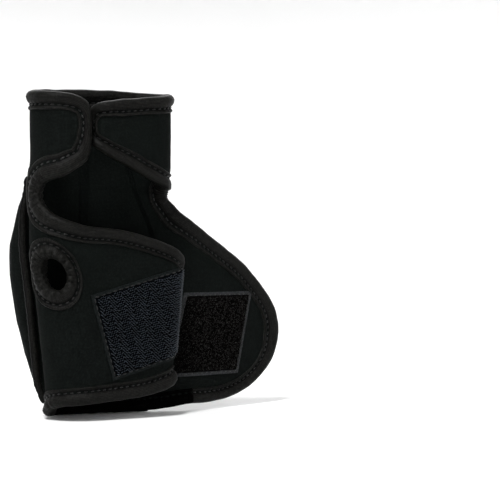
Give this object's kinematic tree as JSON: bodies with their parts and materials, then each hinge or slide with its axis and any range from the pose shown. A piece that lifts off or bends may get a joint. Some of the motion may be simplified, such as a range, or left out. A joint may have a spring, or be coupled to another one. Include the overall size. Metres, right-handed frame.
{
  "type": "weighted hand cuff",
  "caption": "Neoprene hand and wrist cuff with a weight pouch on the back, thumb hole, open palm and a wrap flap with hook and loop tape, shown open",
  "frame": {"origin": "middle of the wrist opening, on the surface that the cuff stands on", "axes": "+X to the little-finger side, -Y to the palm, +Y to the back of the hand, +Z to the fingers"},
  "size_m": [0.1753, 0.0714, 0.188],
  "materials": {
    "neoprene": "matte",
    "binding": "matte",
    "hook_tape": "satin",
    "loop_tape": "matte",
    "thread": "matte",
    "bag_cloth": "matte",
    "iron_sand": "matte"
  },
  "bodies": {
    "cuff_shell": {"back_panel": "neoprene", "thumb_side_panel": "neoprene", "outer_side_panel": "neoprene", "weight_pouch_cover": "neoprene", "thumb_seam_piping": "binding", "top_rim_binding": "binding", "palm_window_binding": "binding", "outer_tab_binding": "binding", "hem_binding": "binding", "thumb_hole_binding": "binding", "hook_tape": "hook_tape", "hook_tape_thread": "thread", "band_tack": "thread", "shot_bag_thumb": "bag_cloth", "shot_bag_outer": "bag_cloth", "iron_sand_thumb": "iron_sand", "iron_sand_outer": "iron_sand"},
    "flap_side": {"flap_side_panel": "neoprene", "flap_side_binding": "binding", "loop_tape_side": "loop_tape", "loop_tape_thread_side": "thread"},
    "flap_front": {"flap_front_panel": "neoprene", "flap_front_binding": "binding", "loop_tape_front": "loop_tape", "loop_tape_thread_front": "thread"}
  },
  "joints": [
    {"name": "flap_wrap", "type": "hinge", "parent": "cuff_shell", "child": "flap_side", "pos_m": [0.0485, 0.01625, 0.06], "axis": [0, 0, -1], "range_deg": [-25, 112]},
    {"name": "flap_crease", "type": "hinge", "parent": "flap_side", "child": "flap_front", "pos_m": [0.08002, 0.02899, 0.06], "axis": [0, 0, -1], "range_deg": [-18, 80]}
  ],
  "couplings": [
    {"joint": "flap_crease", "follows": "flap_wrap", "ratio": 0.71}
  ]
}
